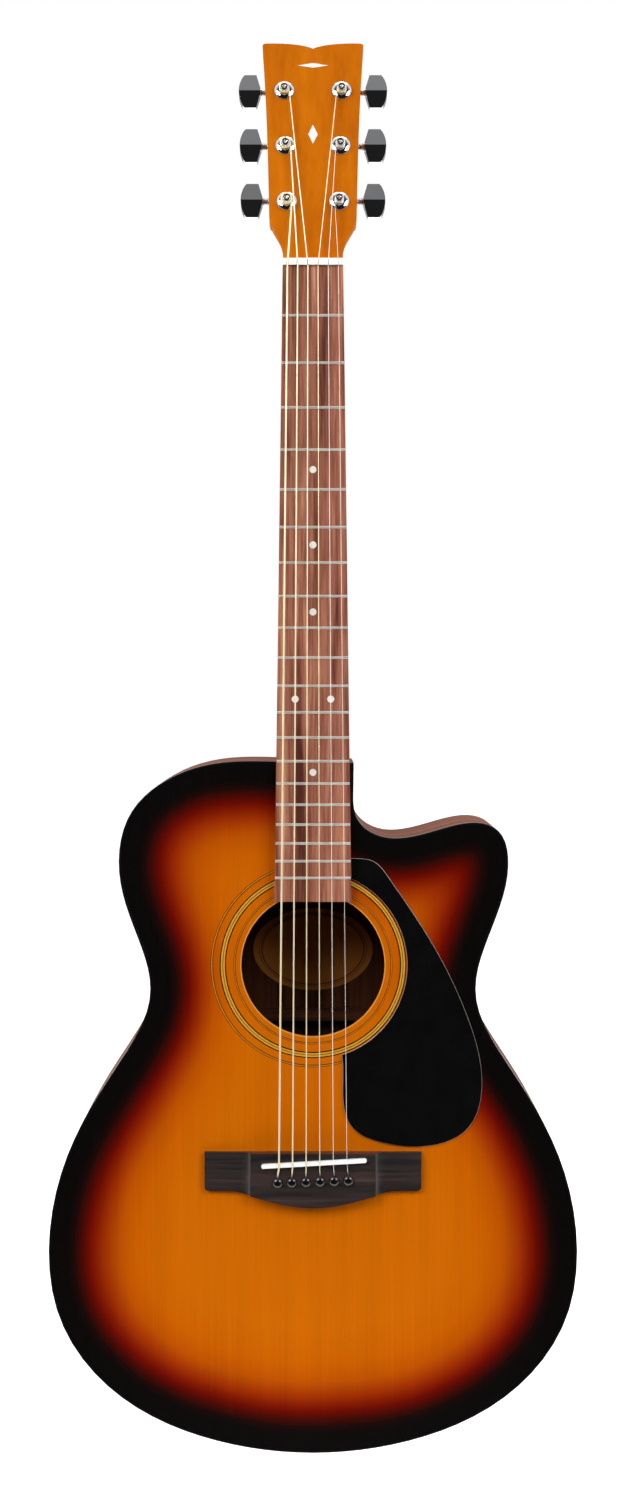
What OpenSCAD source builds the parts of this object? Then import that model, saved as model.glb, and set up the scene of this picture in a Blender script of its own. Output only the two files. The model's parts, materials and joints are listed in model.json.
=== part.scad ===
// Small-body cutaway acoustic guitar with six steel strings.
// Frame: +X towards the treble side, +Z along the neck to the headstock, front faces -Y.
// Origin: centre line, front edge of the nut, in the plane where fingerboard meets soundboard.

/* [Scale and strings] */
// Open string length, from the nut to the saddle
scale_length = 634; // [610:1:655]
// Number of frets
fret_count = 20; // [16:1:20]
// Distance between the outer strings at the nut
nut_string_spread = 36.1; // [34:0.1:38]
// Distance between the outer strings at the saddle
saddle_string_spread = 48; // [44:0.5:52]
// Height of the frets above the fingerboard
fret_height = 1; // [0.8:0.05:1.2]

/* [Body] */
// Length of the body from the neck joint to the tail
body_length = 491; // [470:1:520]
// Width across the lower bout
lower_bout_w = 377.2; // [350:0.2:400]
// Depth of the sides at the neck
depth_at_neck = 92; // [70:1:110]
// Depth of the sides at the tail
depth_at_tail = 104; // [80:1:125]
// Thickness of the soundboard
top_t = 3; // [2.5:0.1:3.5]
// Thickness of the back
back_t = 3; // [2.5:0.1:3.5]
// Thickness of the bent sides
rib_t = 2.5; // [2:0.1:3]
// Radius of the soundhole
soundhole_r = 51; // [45:0.5:52]
// Distance from the neck joint to the centre of the soundhole
soundhole_drop = 143.8; // [140:0.2:150]

/* [Neck] */
// Width of the fingerboard at the nut
nut_w = 43; // [42:0.1:45]
// Width of the fingerboard at its far end
board_end_w = 54.6; // [52:0.1:58]
// Length of the fingerboard
board_length = 451.3; // [448:0.1:455]
// Thickness of the fingerboard
board_t = 6.5; // [5:0.1:7]
// Thickness of the nut along the neck
nut_t = 4.8; // [4:0.1:6]
// Depth of the neck below the fingerboard, at the nut
neck_depth = 14; // [12:0.1:16]

/* [Headstock] */
// Backward tilt of the headstock, in degrees
head_tilt = 14; // [10:0.5:16]
// Length of the headstock along its face
head_length = 170.7; // [165:0.1:180]
// Thickness of the headstock
head_t = 14.5; // [13:0.1:16]

/* [Hidden] */
FIXED_NODES = [
    "soundboard", "back", "bass_rib", "treble_rib", "linings", "neck_block", "tail_block",
    "top_braces", "bridge_plate", "back_braces", "rosette", "pickguard", "bindings", "bridge",
    "saddle", "label", "neck", "fingerboard", "frets", "nut", "position_dots", "truss_rod",
    "truss_rod_nut", "heel_cap", "wound_strings", "plain_strings", "tuner_housings",
    "tuner_covers", "tuner_bushings", "tuner_screws"
];
STRINGS = [1 : 6];

// ---- Fret positions and the places that follow from them ----
BODY_FRET = 14;
function fret_z(n) = -scale_length * (1 - pow(2, -n / 12));
joint_z = fret_z(BODY_FRET) - 1.4;
tail_z = joint_z - body_length;
soundhole_z = joint_z - soundhole_drop;

// ---- Body shape ----
// A uniform cubic B-spline through the plane of the top, from the corner of the cutaway, over
// the bass shoulder, round the tail and back up the treble side. Points are across and down
// from the neck joint, for a body 491 long and 377.2 wide. A tripled point is a sharp corner.
CORNER = [29, 0];
BASS_SHOULDER = [[-13, 0], [-64, 3], [-105, -9], [-137, -37], [-141, -87]];
WAIST_TO_TAIL = [[121, -131], [109, -175], [154, -234], [188, -301], [192, -394], [139, -458],
    [68, -486]];
CUTAWAY = [[141, -87], [139, -46], [112, -40], [83, -50], [52, -57], [28, -42], [29, -19]];
SPLINE_STEPS = 6;
function mirrored(points) = [for (p = points) [-p.x, p.y]];
function reversed(points) = [for (i = [len(points) - 1 : -1 : 0]) points[i]];
body_points = concat(
    [CORNER, CORNER, CORNER],
    BASS_SHOULDER,
    mirrored(WAIST_TO_TAIL),
    [[0, -494]],
    reversed(WAIST_TO_TAIL),
    CUTAWAY,
    [CORNER, CORNER, CORNER]
);
function spline_point(a, b, c, d, t) =
    (pow(1 - t, 3) * a + (3 * pow(t, 3) - 6 * t * t + 4) * b
    + (-3 * pow(t, 3) + 3 * t * t + 3 * t + 1) * c + pow(t, 3) * d) / 6;
function spline(points, steps) = [
    for (i = [0 : len(points) - 4])
        for (j = [0 : steps - 1])
            spline_point(points[i], points[i + 1], points[i + 2], points[i + 3], j / steps)
];
body_edge = [
    for (p = spline(body_points, SPLINE_STEPS))
        [p.x * lower_bout_w / 377.2, joint_z + p.y * body_length / 491]
];

// The back is a shallow barrel that leans, deeper at the tail.
BACK_RADIUS = 4500;
BACK_CROWN = 2;
BARREL_HALF_W = 224;
BARREL_STEP = 16;
back_lean = atan((depth_at_tail - depth_at_neck) / body_length);
BEYOND_BACK = 130;
BEYOND_SIDE = 300;
FAR_IN_FRONT = -200;
back_zone = depth_at_neck - 30;

// ---- Edge trim and linings ----
BINDING_W = 1.8;
BINDING_H = 5;
LINING_W = 6;
LINING_H = 12;
BRACE_END_GAP = 0.5;

// ---- Rosette rings, inner and outer radius ----
ROSETTE_RINGS = [[55.2, 56.6], [61.9, 66.4], [71.1, 72.9]];
INLAY_DEPTH = 1;

// ---- Bridge ----
BRIDGE_HALF_L = 77;
BRIDGE_BLOCK_HALF = 44;
BRIDGE_H = 9;
BRIDGE_WING_H = 3.5;
SCOOP_END = 53;
bridge_top_z = -scale_length + 4.7;
bridge_wing_z = bridge_top_z - 27.7;
bridge_belly_z = bridge_top_z - 38.7;
SADDLE_LEFT = -36.5;
SADDLE_RIGHT = 38;
SADDLE_T = 3;
SADDLE_SLANT = 3.3;
SADDLE_TOP = 11.9;
SADDLE_SLOT_DEPTH = 5;
saddle_left_z = -scale_length - 4;
PIN_PITCH = 10;
PIN_R = 2.55;
PIN_FIT = 0.07;
PIN_HEAD_R = 3.75;
PLATE_T = 2.5;
pin_z_bass = bridge_top_z - 20.5;
PIN_SLANT = 1.7;

// ---- Neck and headstock ----
NECK_DEPTH_GROWTH = 2;
HEEL_START = -285;
HEEL_CAP_T = 3;
heel_depth = depth_at_neck + BACK_CROWN - HEEL_CAP_T;
HEEL_TAPER = 0.35;
HEEL_REACH = 0.7;
HEEL_POWER = 2.4;
ROUNDNESS = 0.8;
RING_STEPS = 24;
HEAD_BLEND = 30;
TRUSS_Y = 7;
TRUSS_R = 2.4;
ROD_FIT = 0.6;
TRUSS_NUT_R = 3.6;
TENON_HALF_W = 12;
TENON_L = 24;
TENON_BOTTOM = 78;
NECK_BLOCK_L = 40;
NECK_BLOCK_HALF_W = 40;
TAIL_BLOCK_L = 22;
TAIL_BLOCK_HALF_W = 32;

// ---- Tuners, each in its own frame: x outward, y along the headstock, z out of its face ----
POST_R = 3;
RUN_FIT = 0.05;
POST_TIP = 7.3;
POST_TAIL = -24.5;
STRING_HEIGHT_ON_POST = 3.8;
WORM_Y = 9.5;
WORM_Z = -21;
// One turn of the worm moves the gear on by one tooth, so this is also the turns ratio
GEAR_TEETH = 14;
GEAR_PITCH_R = 6;
GEAR_ROOT_R = 5;
GEAR_TIP_R = 6.9;
GEAR_W = 4.4;
WORM_CORE_R = 2.4;
WORM_TIP_R = 4.3;
SHAFT_R = 2;
worm_pitch = 2 * PI * GEAR_PITCH_R / GEAR_TEETH;
WORM_TURNS = 4.5;
WORM_STEPS = 16;
HOUSING_TOP = -head_t;
HOUSING_BACK = -26;
COVER_T = 1.5;
KNOB_X = 17.8;
KNOB_HALF_L = 13.2;
BUSHING_R = 4.9;
FLANGE_R = 7.2;
SCREW_Y = -12;
SCREW_R = 1.2;
TAB_T = 3;
TAB_END = -8.2;
CHAMBER_FIT = 0.4;
tab_back = HOUSING_TOP - TAB_T;
function tuner_row(k) = k <= 3 ? k - 1 : 6 - k;
function tuner_side(k) = k <= 3 ? -1 : 1;
function tuner_x(k) = 18.8 + tuner_row(k);
function tuner_l(k) = 45.5 + 43.65 * tuner_row(k);

// ---- Strings: string 1 is the thickest, at the bass edge ----
STRING_D = [1.35, 1.07, 0.81, 0.61, 0.41, 0.3];
WOUND = [1 : 4];
PLAIN = [5 : 6];
FIRST_FRET_GAP = 0.2;
function across(k, spread) = spread * ((k - 1) / 5 - 0.5);
function string_r(k) = STRING_D[k - 1] / 2;
function saddle_z(x) = saddle_left_z + (x - SADDLE_LEFT) * tan(SADDLE_SLANT);
function pin_x(k) = PIN_PITCH * (k - 3.5);
function pin_z(k) = pin_z_bass + PIN_SLANT * (k - 1) / 5;
function head_point(x, l, h) = [
    x,
    l * sin(head_tilt) - h * cos(head_tilt),
    nut_t + l * cos(head_tilt) + h * sin(head_tilt)
];

// ---- Shared modules and functions ----
// Extrudes a shape drawn as seen from the front, between two depths behind the top's plane.
module slab(front, back) {
    translate([0, back, 0]) rotate([90, 0, 0]) linear_extrude(back - front) children();
}

// Extrudes a shape drawn as seen from above (across, depth), between two heights.
module loft(low, high) {
    translate([0, 0, low]) linear_extrude(high - low) children();
}

module block(low, high) {
    translate(low) cube(high - low);
}

// A hole or pin along the depth, from the front depth to the back depth.
module across_top(x, z, r, front, back) {
    translate([x, back, z]) rotate([90, 0, 0]) cylinder(r = r, h = back - front, $fn = 64);
}

module body_outline(inset) {
    offset(delta = -inset) polygon(body_edge);
}

module rim(outer, inner) {
    difference() {
        body_outline(outer);
        body_outline(inner);
    }
}

// Everything in front of the arched back, or of a surface inset from it.
module back_barrel(inset) {
    arch = [
        for (x = [-BARREL_HALF_W : BARREL_STEP : BARREL_HALF_W])
            [x, sqrt(BACK_RADIUS * BACK_RADIUS - x * x) - BACK_RADIUS - inset]
    ];
    translate([0, depth_at_neck + BACK_CROWN, joint_z]) rotate([back_lean, 0, 0])
        translate([0, 0, -1.2 * body_length]) linear_extrude(1.4 * body_length)
            polygon(concat([[BARREL_HALF_W, FAR_IN_FRONT], [-BARREL_HALF_W, FAR_IN_FRONT]], arch));
}

// Places something in the frame of tuner k.
module on_head(k) {
    side = tuner_side(k);
    translate([0, 0, nut_t]) rotate([90 - head_tilt, 0, 0])
        translate([side * tuner_x(k), tuner_l(k), 0]) mirror([side < 0 ? 1 : 0, 0, 0]) children();
}

module all_tuners() {
    for (k = STRINGS) on_head(k) children();
}

function board_half(z) = nut_w / 2 + (board_end_w - nut_w) / 2 * min(1, max(0, -z / board_length));

module board_outline(grow = 0) {
    polygon([
        [-board_half(0) - grow, 0], [board_half(0) + grow, 0],
        [board_half(-board_length) + grow, -board_length],
        [-board_half(-board_length) - grow, -board_length]
    ]);
}

// Skins a row of rings, each a closed loop with the same number of points.
module skin(rings) {
    n = len(rings[0]);
    m = len(rings);
    polyhedron(
        points = [for (ring = rings) for (p = ring) p],
        faces = concat(
            [[for (i = [0 : n - 1]) i]],
            [[for (i = [n - 1 : -1 : 0]) (m - 1) * n + i]],
            [for (j = [0 : m - 2]) for (i = [0 : n - 1])
                [j * n + i, (j + 1) * n + i, (j + 1) * n + (i + 1) % n, j * n + (i + 1) % n]]
        )
    );
}

// ---- Body ----
module soundhole() {
    across_top(0, soundhole_z, soundhole_r, -1, top_t + 1);
}

module rosette_rings(front) {
    for (ring = ROSETTE_RINGS)
        translate([0, INLAY_DEPTH, soundhole_z]) rotate([90, 0, 0]) difference() {
            cylinder(r = ring[1], h = INLAY_DEPTH + front, $fn = 180);
            translate([0, 0, -1]) cylinder(r = ring[0], h = INLAY_DEPTH + front + 2, $fn = 180);
        }
}

module soundboard() {
    color("darkorange") difference() {
        slab(0, top_t) body_outline(BINDING_W);
        soundhole();
        rosette_rings(1);
        pin_holes(-1, top_t + 1);
    }
}

module back() {
    color("saddlebrown") intersection() {
        slab(back_zone, BEYOND_BACK) body_outline(BINDING_W);
        difference() {
            back_barrel(0);
            back_barrel(back_t);
        }
    }
}

// The space of the binding strips; reach widens them outward where they are used to cut.
module binding_strips(reach) {
    slab(-reach, BINDING_H) rim(-reach, BINDING_W);
    difference() {
        intersection() {
            slab(back_zone, BEYOND_BACK) rim(-reach, BINDING_W);
            back_barrel(-reach);
        }
        back_barrel(BINDING_H);
    }
}

module bindings() {
    color("black") difference() {
        binding_strips(0);
        tenon();
    }
}

// All the room inside the body's outline, which the neck's end fits against.
module body_space() {
    slab(-1, BEYOND_BACK) body_outline(0);
}

module tenon(grow = 0) {
    block(
        [-TENON_HALF_W - grow, top_t, joint_z - TENON_L - grow],
        [TENON_HALF_W + grow, TENON_BOTTOM + grow, joint_z + 1]
    );
}

module rib(side) {
    color("rosybrown") difference() {
        intersection() {
            slab(top_t, BEYOND_BACK) rim(0, rib_t);
            back_barrel(back_t);
            block([min(0, side * BEYOND_SIDE), 0, tail_z - 20],
                [max(0, side * BEYOND_SIDE), BEYOND_BACK, joint_z + 20]);
        }
        binding_strips(1);
        tenon();
    }
}

module neck_block_space() {
    block([-NECK_BLOCK_HALF_W, 0, joint_z - NECK_BLOCK_L], [NECK_BLOCK_HALF_W, BEYOND_BACK, joint_z + 1]);
}

module tail_block_space() {
    block([-TAIL_BLOCK_HALF_W, 0, tail_z - 1], [TAIL_BLOCK_HALF_W, BEYOND_BACK, tail_z + TAIL_BLOCK_L]);
}

module linings() {
    color("burlywood") difference() {
        intersection() {
            slab(top_t, BEYOND_BACK) rim(rib_t, rib_t + LINING_W);
            back_barrel(back_t);
        }
        difference() {
            slab(top_t + LINING_H, BEYOND_BACK) body_outline(0);
            difference() {
                back_barrel(0);
                back_barrel(back_t + LINING_H);
            }
        }
        neck_block_space();
        tail_block_space();
    }
}

module end_block() {
    color("burlywood") intersection() {
        slab(top_t, BEYOND_BACK) body_outline(rib_t);
        back_barrel(back_t);
        children();
    }
}

module neck_block() {
    difference() {
        end_block() neck_block_space();
        tenon();
        translate([0, TRUSS_Y, joint_z - NECK_BLOCK_L - 1]) cylinder(r = 3, h = NECK_BLOCK_L, $fn = 48);
    }
}

module tail_block() {
    end_block() tail_block_space();
}

// A brace along X with feathered ends, standing on the plane y = 0 and reaching to +Y.
module brace(length, height, width, tip = 3) {
    feather = min(45, length / 3);
    translate([0, 0, -width / 2]) linear_extrude(width) polygon([
        [-length / 2, 0], [length / 2, 0], [length / 2, tip], [length / 2 - feather, height],
        [-length / 2 + feather, height], [-length / 2, tip]
    ]);
}

// Places a brace on the inside of the top, turned from the X axis.
module top_brace(x, z, turn, length, height, width) {
    translate([x, top_t, z]) rotate([0, turn, 0]) brace(length, height, width);
}

module top_braces() {
    KEY_HOLE_R = 5;
    KEY_HOLE_L = 36;
    x_cross = soundhole_z - 80;
    transverse_z = joint_z - NECK_BLOCK_L - 32;
    color("wheat") difference() {
        intersection() {
            slab(top_t, top_t + 20) body_outline(rib_t + LINING_W + BRACE_END_GAP);
            union() {
                for (side = [-1, 1]) {
                    // One leg of the X brace
                    top_brace(0, x_cross, side * 40, 440, 13, 8);
                    // Finger braces from the X towards the edge
                    top_brace(side * 118, soundhole_z - 150, side * 12, 84, 8, 6);
                    top_brace(side * 112, soundhole_z - 195, side * 14, 90, 8, 6);
                    // Soundhole brace
                    top_brace(side * 66, soundhole_z, 90, 66, 6, 10);
                }
                // Tone bars behind the bridge
                top_brace(6, soundhole_z - 220, 24, 170, 9, 6);
                top_brace(-4, soundhole_z - 262, 24, 150, 9, 6);
                // Transverse bar above the soundhole
                top_brace(0, transverse_z, 0, 240, 14, 12);
            }
        }
        // Way through the transverse bar for the truss-rod key
        translate([0, TRUSS_Y, transverse_z - KEY_HOLE_L / 2])
            cylinder(r = KEY_HOLE_R, h = KEY_HOLE_L, $fn = 48);
    }
}

module bridge_plate() {
    color("sienna") difference() {
        slab(top_t, top_t + PLATE_T) polygon([
            [-50, bridge_top_z + 3], [50, bridge_top_z + 3], [80, bridge_belly_z + 8],
            [80, bridge_belly_z - 2], [-80, bridge_belly_z - 2], [-80, bridge_belly_z + 8]
        ]);
        pin_holes(0, top_t + PLATE_T + 1);
    }
}

module back_braces() {
    BRACE_H = 15;
    BRACE_W = 8;
    DROPS_FROM_JOINT = [72, 192, 290, 390];
    color("wheat") intersection() {
        slab(back_zone, BEYOND_BACK) body_outline(rib_t + LINING_W + BRACE_END_GAP);
        difference() {
            back_barrel(back_t);
            back_barrel(back_t + BRACE_H);
        }
        for (drop = DROPS_FROM_JOINT)
            block([-BEYOND_SIDE, 0, joint_z - drop - BRACE_W / 2],
                [BEYOND_SIDE, BEYOND_BACK, joint_z - drop + BRACE_W / 2]);
    }
}

module rosette() {
    color("khaki") rosette_rings(0);
}

module pickguard() {
    GUARD_T = 1.2;
    guard_points = [
        [10, 76], [30, 76], [45, 75.5], [54, 62], [64, 48], [92, 6], [115, -46], [123, -84],
        [115, -119], [84, -131], [50, -128], [24, -118], [20, -92], [23, -62], [10, -40]
    ];
    closed = concat(guard_points, [for (i = [0 : 2]) guard_points[i]]);
    color("black") difference() {
        slab(-GUARD_T, 0) difference() {
            translate([0, soundhole_z]) polygon(spline(closed, SPLINE_STEPS));
            board_outline();
        }
        across_top(0, soundhole_z, 67, -GUARD_T - 1, 1);
    }
}

module label() {
    LABEL_W = 90;
    LABEL_H = 62;
    LABEL_T = 0.4;
    color("tan") intersection() {
        slab(60, BEYOND_BACK) translate([0, soundhole_z])
            polygon([for (a = [0 : 6 : 354]) [LABEL_W / 2 * cos(a), LABEL_H / 2 * sin(a)]]);
        difference() {
            back_barrel(back_t);
            back_barrel(back_t + LABEL_T);
        }
    }
}

// ---- Bridge, saddle and pins ----
module pin_holes(front, back) {
    for (k = STRINGS) across_top(pin_x(k), pin_z(k), PIN_R + PIN_FIT, front, back);
}

// The ramp that leads each string from the bridge's face down into its hole.
module string_ramp(k) {
    half = string_r(k) + 0.15;
    translate([pin_x(k) - half, 0, pin_z(k)]) rotate([90, 0, 90]) linear_extrude(2 * half)
        polygon([[-BRIDGE_H - 1, 0], [-BRIDGE_H - 1, 7.4], [-BRIDGE_H, 7.4], [-5.6, 2], [-5.6, 0]]);
}

module saddle_shape(bottom) {
    length = (SADDLE_RIGHT - SADDLE_LEFT) / cos(SADDLE_SLANT);
    translate([SADDLE_LEFT, 0, saddle_left_z]) rotate([0, -SADDLE_SLANT, 0])
        slab(-bottom, SADDLE_SLOT_DEPTH - BRIDGE_H) hull() {
            for (x = [SADDLE_T / 2, length - SADDLE_T / 2])
                translate([x, 0]) circle(r = SADDLE_T / 2, $fn = 32);
        }
}

module bridge_outline() {
    BELLY_STEPS = 12;
    CORNER_R = 3;
    half = BRIDGE_HALF_L;
    drop = bridge_wing_z - bridge_belly_z;
    belly_half = BRIDGE_BLOCK_HALF + 14;
    polygon(concat(
        [[-half, bridge_top_z], [half, bridge_top_z]],
        [for (a = [0 : 15 : 90])
            [half - CORNER_R + CORNER_R * cos(a), bridge_wing_z + CORNER_R - CORNER_R * sin(a)]],
        [for (i = [BELLY_STEPS : -1 : -BELLY_STEPS])
            [belly_half * i / BELLY_STEPS, bridge_wing_z - drop * pow(cos(90 * i / BELLY_STEPS), 1.4)]],
        [for (a = [90 : -15 : 0])
            [-half + CORNER_R - CORNER_R * cos(a), bridge_wing_z + CORNER_R - CORNER_R * sin(a)]]
    ));
}

// Front-to-back profile, seen from the end of the neck: block, scoops, thin wings.
module bridge_profile() {
    STEP_H = 7.6;
    scoop_w = SCOOP_END - BRIDGE_BLOCK_HALF;
    half = concat(
        [[BRIDGE_BLOCK_HALF, -BRIDGE_H]],
        [for (a = [0 : 15 : 90])
            [SCOOP_END - scoop_w * cos(a), -BRIDGE_WING_H - (STEP_H - BRIDGE_WING_H) * (1 - sin(a))]],
        [[BRIDGE_HALF_L, -BRIDGE_WING_H], [BRIDGE_HALF_L, 0]]
    );
    polygon(concat(half, reversed(mirrored(half))));
}

module bridge() {
    color([0.2, 0.12, 0.1]) difference() {
        intersection() {
            slab(-BRIDGE_H, 0) bridge_outline();
            loft(bridge_belly_z - 1, bridge_top_z + 1) bridge_profile();
        }
        saddle_shape(BRIDGE_H + 1);
        pin_holes(-BRIDGE_H - 1, 1);
        for (k = STRINGS) string_ramp(k);
    }
}

module saddle() {
    color("ivory") saddle_shape(SADDLE_TOP);
}

module bridge_pin(k) {
    // The head's underside, as a depth behind the top's plane
    HEAD_UNDER = -BRIDGE_H - 0.3;
    SHANK_END = 17;
    GROOVE_FLOOR = 0.7;
    groove_half = string_r(k) + 0.3;
    color([0.08, 0.08, 0.08]) translate([pin_x(k), 0, pin_z(k)]) difference() {
        rotate([90, 0, 0]) rotate_extrude($fn = 64) polygon(concat(
            [[0, -SHANK_END], [PIN_R - 0.6, -SHANK_END], [PIN_R, -SHANK_END + 1.5],
                [PIN_R, -HEAD_UNDER], [PIN_HEAD_R - 0.3, -HEAD_UNDER],
                [PIN_HEAD_R, -HEAD_UNDER + 0.4]],
            [for (a = [0 : 15 : 90]) [PIN_HEAD_R * cos(a), -HEAD_UNDER + 0.9 + 2.4 * sin(a)]]
        ));
        block([-groove_half, HEAD_UNDER, GROOVE_FLOOR], [groove_half, SHANK_END + 1, PIN_R + 1]);
        // Room for the string's ball, behind the bridge plate
        block([-PIN_R - 1, top_t + PLATE_T, GROOVE_FLOOR], [PIN_R + 1, SHANK_END + 1, PIN_R + 1]);
    }
}

// ---- Neck ----
function neck_full_depth(z) =
    neck_depth + NECK_DEPTH_GROWTH * min(1, z / HEEL_START)
    + (z < HEEL_START ? (heel_depth - neck_depth) * pow((HEEL_START - z)
        / ((HEEL_START - joint_z) * HEEL_REACH), HEEL_POWER) : 0);
function bulge(v, power) = sign(v) * pow(abs(v), power);
function neck_ring(z) = [
    for (i = [0 : RING_STEPS])
        let (
            a = 180 * i / RING_STEPS,
            y = min(heel_depth, neck_full_depth(z) * sin(a)),
            narrowing = 1 - HEEL_TAPER * y / heel_depth
        )
        [board_half(z) * bulge(cos(a), ROUNDNESS) * narrowing, y, z]
];
function head_half(l) = l < 2 ? 21.4 : 21.4 + 10 * pow(sin(min(90, (l - 2) * 90 / 34)), 2.2);
function head_ring(l) = [
    for (i = [0 : RING_STEPS])
        let (
            a = 180 * i / RING_STEPS,
            squareness = ROUNDNESS - (ROUNDNESS - 0.12) * l / HEAD_BLEND,
            depth = (head_t - 0.1) * pow(sin(a), squareness / ROUNDNESS)
        )
        head_point((head_half(l) - 0.1) * bulge(cos(a), squareness), l, -depth)
];
heel_stations = [for (i = [1 : 12]) HEEL_START + (joint_z - HEEL_START) * i / 12];
shaft_stations = [-4, -70, -140, -210];

function bezier(a, b, c, d, t) =
    pow(1 - t, 3) * a + 3 * t * pow(1 - t, 2) * b + 3 * t * t * (1 - t) * c + pow(t, 3) * d;

// The face of the headstock: flared sides, open-book notch at the tip.
module head_outline() {
    TIP_HALF = 36.9;
    NOTCH_DROP = 4;
    shoulder = [for (l = [HEAD_BLEND - 1 : 2 : 37]) [head_half(l), l]];
    flare = [for (t = [0.1 : 0.1 : 0.9])
        bezier([31.4, 37], [32.4, 80], [33.6, 125], [TIP_HALF, head_length], t)];
    crest = [for (t = [0 : 0.125 : 1])
        bezier([TIP_HALF, head_length], [26, head_length + 0.6], [8, head_length],
            [0, head_length - NOTCH_DROP], t)];
    half = concat(shoulder, flare, crest);
    offset(r = 2, $fn = 32) offset(delta = -2)
        polygon(concat(half, reversed(mirrored(half))));
}

module headstock() {
    difference() {
        translate([0, 0, nut_t]) rotate([90 - head_tilt, 0, 0])
            translate([0, 0, -head_t]) linear_extrude(head_t) head_outline();
        all_tuners() {
            translate([0, 0, -head_t - 1]) cylinder(r = BUSHING_R, h = head_t + 2, $fn = 64);
            translate([0, SCREW_Y, -head_t - 1]) cylinder(r = SCREW_R, h = 9, $fn = 32);
        }
    }
}

module neck() {
    color("peru") difference() {
        union() {
            difference() {
                skin(concat(
                    reversed([for (z = concat(shaft_stations, [HEEL_START], heel_stations)) neck_ring(z)]),
                    [for (l = [0 : 5 : HEAD_BLEND]) head_ring(l)]
                ));
                body_space();
            }
            tenon();
            headstock();
        }
        block([-TRUSS_R - ROD_FIT, -1, joint_z - TENON_L - 1],
            [TRUSS_R + ROD_FIT, TRUSS_Y + TRUSS_R + ROD_FIT, -12]);
    }
}

module heel_cap() {
    cap_stations = [for (z = heel_stations) if (neck_full_depth(z) > heel_depth) z];
    function cap_half(z) = board_half(z) * (1 - HEEL_TAPER)
        * pow(sqrt(1 - pow(heel_depth / neck_full_depth(z), 2)), ROUNDNESS);
    half = [for (z = cap_stations) [cap_half(z), z]];
    color("black") difference() {
        slab(heel_depth, heel_depth + HEEL_CAP_T) polygon(concat(half, reversed(mirrored(half))));
        body_space();
    }
}

module truss_rod() {
    ROD_START = -14;
    rod_end = joint_z - NECK_BLOCK_L - 6;
    color("gray") {
        translate([0, TRUSS_Y, rod_end]) cylinder(r = TRUSS_R, h = ROD_START - rod_end, $fn = 48);
        block([-3, 0.2, ROD_START - 12], [3, TRUSS_Y + TRUSS_R, ROD_START]);
        // Strip that fills the channel in front of the rod
        block([-3, 0.2, joint_z + 2], [3, TRUSS_Y - TRUSS_R - 0.3, ROD_START - 12]);
    }
}

module truss_rod_nut() {
    NUT_L = 12;
    NUT_GAP = 0.3;
    SOCKET = 4;
    low = joint_z - NECK_BLOCK_L - NUT_GAP - NUT_L;
    color("gold") translate([0, TRUSS_Y, low]) difference() {
        cylinder(r = TRUSS_NUT_R, h = NUT_L, $fn = 64);
        translate([0, 0, 6]) cylinder(r = TRUSS_R + RUN_FIT, h = NUT_L, $fn = 64);
        translate([0, 0, -1]) cylinder(r = SOCKET / 2 / cos(30), h = 6, $fn = 6);
    }
}

FRET_CROWN_HALF = 1;
TANG_T = 0.5;
TANG_DEPTH = 2;
DOT_R = 2.5;
DOT_DEPTH = 1;
SINGLE_DOTS = [5, 7, 9, 15];
DOUBLE_DOT = 12;
DOUBLE_DOT_X = 12.6;
function between_frets(n) = (fret_z(n) + fret_z(n - 1)) / 2;

module dots() {
    for (n = SINGLE_DOTS)
        across_top(0, between_frets(n), DOT_R, -board_t, -board_t + DOT_DEPTH);
    for (side = [-1, 1])
        across_top(side * DOUBLE_DOT_X, between_frets(DOUBLE_DOT), DOT_R, -board_t, -board_t + DOT_DEPTH);
}

module fret_slots() {
    for (n = [1 : fret_count])
        block([-nut_w, -board_t - 1, fret_z(n) - TANG_T / 2],
            [nut_w, -board_t + TANG_DEPTH, fret_z(n) + TANG_T / 2]);
}

module fingerboard() {
    color([0.35, 0.2, 0.15]) difference() {
        slab(-board_t, 0) board_outline();
        fret_slots();
        dots();
    }
}

module position_dots() {
    color("white") dots();
}

module frets() {
    END_INSET = 0.3;
    color("silver") for (n = [1 : fret_count]) {
        half = board_half(fret_z(n)) - END_INSET;
        block([-half, -board_t - fret_height / 2, fret_z(n) - TANG_T / 2],
            [half, -board_t + TANG_DEPTH, fret_z(n) + TANG_T / 2]);
        translate([-half, -board_t, fret_z(n)]) rotate([0, 90, 0]) intersection() {
            cylinder(r = FRET_CROWN_HALF, h = 2 * half, $fn = 32);
            block([-2, -2, -1], [2, 0, 2 * half + 1]);
        }
    }
}

// ---- Strings ----
nut_string_y = -board_t - fret_height - FIRST_FRET_GAP;
function string_start(k) =
    let (s = tuner_side(k))
    head_point(s * (tuner_x(k) - POST_R - string_r(k) - 0.12), tuner_l(k) - 1, STRING_HEIGHT_ON_POST);
function string_path(k) =
    let (
        r = string_r(k),
        nut_x = across(k, nut_string_spread),
        sad_x = across(k, saddle_string_spread),
        sad_edge = saddle_z(sad_x) - SADDLE_T / 2,
        sad_y = -SADDLE_TOP - r - 0.03,
        dive_z = pin_z(k) + PIN_HEAD_R + 0.3,
        hole_z = pin_z(k) + 1.6
    )
    [
        string_start(k),
        [nut_x, nut_string_y - r, 0],
        [sad_x, sad_y, sad_edge],
        [pin_x(k), -BRIDGE_H + r + 0.2, dive_z],
        [pin_x(k), -BRIDGE_H + r + 1.9, hole_z + 0.15],
        [pin_x(k), -BRIDGE_H + r + 3, hole_z],
        [pin_x(k), top_t + PLATE_T + 1.5, hole_z]
    ];

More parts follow.
